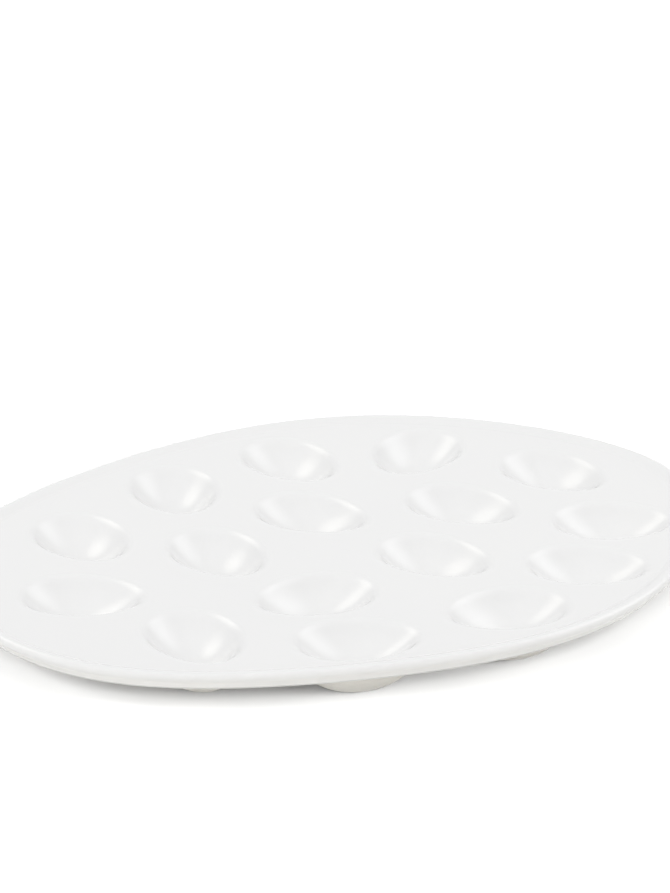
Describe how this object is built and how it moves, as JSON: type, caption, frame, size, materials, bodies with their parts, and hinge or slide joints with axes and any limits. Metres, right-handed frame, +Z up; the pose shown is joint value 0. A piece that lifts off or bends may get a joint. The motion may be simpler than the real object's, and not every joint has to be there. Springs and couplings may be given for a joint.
{
  "type": "egg platter",
  "caption": "Egg-shaped white porcelain serving platter with two rings of sunken wells that hold halved eggs, inside a low raised lip.",
  "frame": {"origin": "on the table, under the middle of the platter's outline", "axes": "+X to the broad end along the length, +Y across, +Z up"},
  "size_m": [0.3894, 0.2994, 0.0258],
  "materials": {
    "bisque": "matte fired porcelain, bare on the underside",
    "glaze": "glossy white glaze"
  },
  "bodies": {
    "root": {"porcelain_body": "bisque", "glaze_coat": "glaze"}
  },
  "joints": []
}
